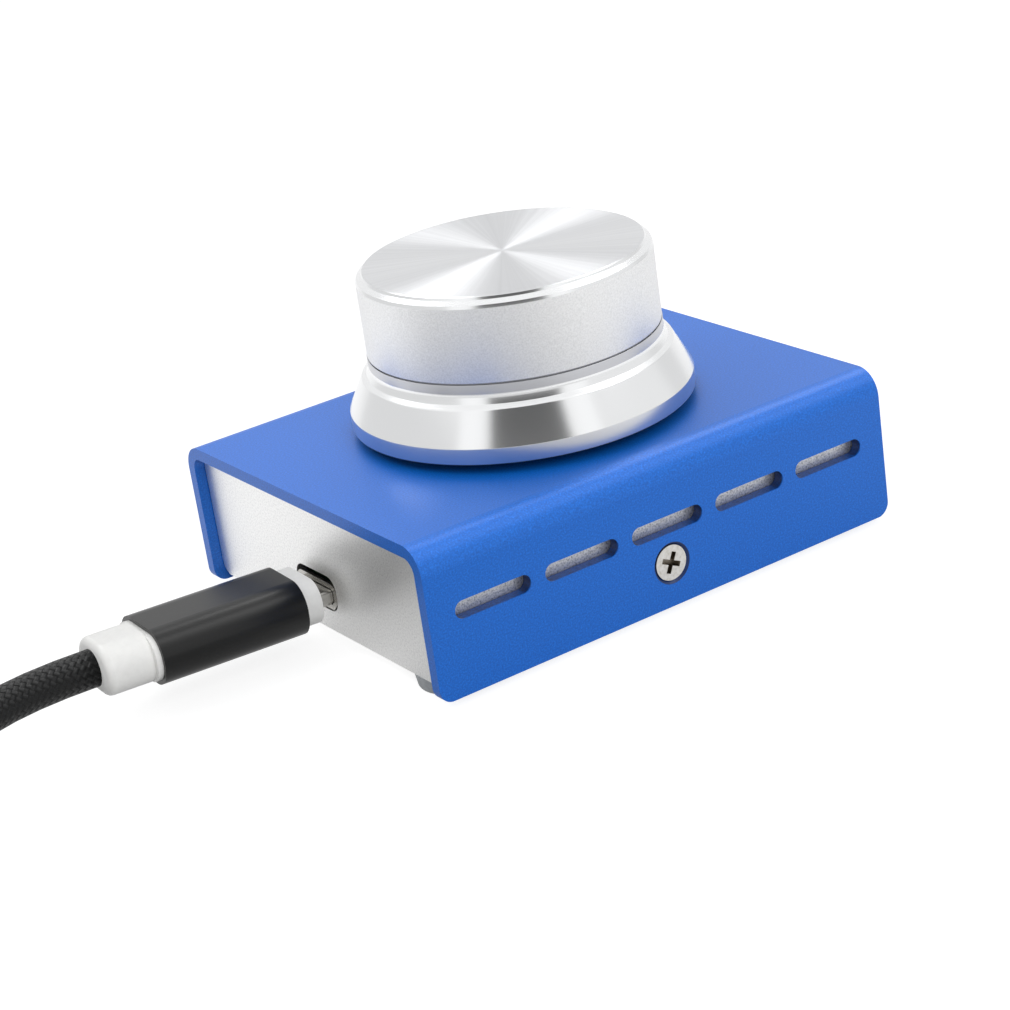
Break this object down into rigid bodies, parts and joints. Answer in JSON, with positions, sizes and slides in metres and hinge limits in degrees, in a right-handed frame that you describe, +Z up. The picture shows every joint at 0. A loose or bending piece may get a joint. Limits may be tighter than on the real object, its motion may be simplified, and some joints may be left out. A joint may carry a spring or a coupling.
{
  "type": "usb volume control knob",
  "caption": "Desk volume control: a turned metal knob on a push-button rotary encoder in a low folded aluminium case, with a cabled plug.",
  "frame": {"origin": "on the table under the middle of the case", "axes": "+Z up along the knob's axis; +X along the case's long, slotted sides, away from the USB port; +Y to the case's back"},
  "size_m": [0.1657, 0.0765, 0.037],
  "materials": {
    "blue_anodised": "bead blasted and anodised",
    "silver_anodised": "bead blasted",
    "turned_aluminium": "bead blasted with turned bands",
    "foot_rubber": "matt",
    "screw_steel": "nickel plated",
    "connector_steel": "satin",
    "brass_plated": "nickel plated",
    "contact_gold": "gold flash",
    "board_laminate": "solder mask",
    "chip_black": "moulded epoxy",
    "insulator_black": "moulded nylon",
    "insert_plastic": "moulded",
    "white_plastic": "glossy",
    "sleeve_black": "satin",
    "braid": "braided",
    "tie_fabric": "hook and loop"
  },
  "bodies": {
    "housing": {"base_tray": "silver_anodised", "top_cover": "blue_anodised", "cover_screws": "screw_steel", "foot_front_left": "foot_rubber", "foot_front_right": "foot_rubber", "foot_back_left": "foot_rubber", "foot_back_right": "foot_rubber", "board_standoffs": "brass_plated", "circuit_board": "board_laminate", "board_screws": "screw_steel", "controller_chip": "chip_black", "crystal": "connector_steel", "capacitors": "turned_aluminium", "resistors": "chip_black", "usb_receptacle_shell": "connector_steel", "usb_receptacle_core": "insulator_black", "usb_receptacle_contacts": "contact_gold", "encoder_base": "insulator_black", "encoder_bracket": "connector_steel", "encoder_bushing": "brass_plated", "encoder_terminals": "brass_plated", "switch_dome": "connector_steel", "seating_washer": "connector_steel", "panel_washer": "connector_steel", "panel_nut": "brass_plated"},
    "push": {"switch_plunger": "insulator_black"},
    "knob": {"encoder_shaft": "brass_plated", "knob_core": "insert_plastic", "knob_shell": "turned_aluminium"},
    "rotor": {"encoder_rotor": "insulator_black"},
    "plug": {"plug_shell": "connector_steel", "plug_insulator": "insulator_black", "plug_moulding": "white_plastic", "plug_sleeve": "sleeve_black", "strain_relief": "white_plastic", "cord": "braid", "cord_coil": "braid", "cord_tie": "tie_fabric", "cord_tail": "braid", "host_strain_relief": "white_plastic", "host_plug_moulding": "white_plastic", "host_plug_sleeve": "sleeve_black", "host_plug_shell": "connector_steel", "host_plug_insulator": "white_plastic"}
  },
  "joints": [
    {"name": "knob_push", "type": "slide", "parent": "housing", "child": "push", "axis": [0, 0, -1], "range_m": [0, 0.0005], "stiffness_N_per_m": 6000, "springref_m": -0.00033, "deforming": ["switch_dome"]},
    {"name": "knob_turn", "type": "hinge", "parent": "push", "child": "knob", "pos_m": [0, 0, 0.0194], "axis": [0, 0, 1], "continuous": true},
    {"name": "rotor_turn", "type": "hinge", "parent": "housing", "child": "rotor", "pos_m": [0, 0, 0.0131], "axis": [0, 0, 1], "continuous": true},
    {"name": "plug_pull", "type": "slide", "parent": "housing", "child": "plug", "axis": [-1, 0, 0], "range_m": [0, 0.006]}
  ],
  "couplings": [
    {"joint": "rotor_turn", "follows": "knob_turn", "ratio": 1}
  ]
}
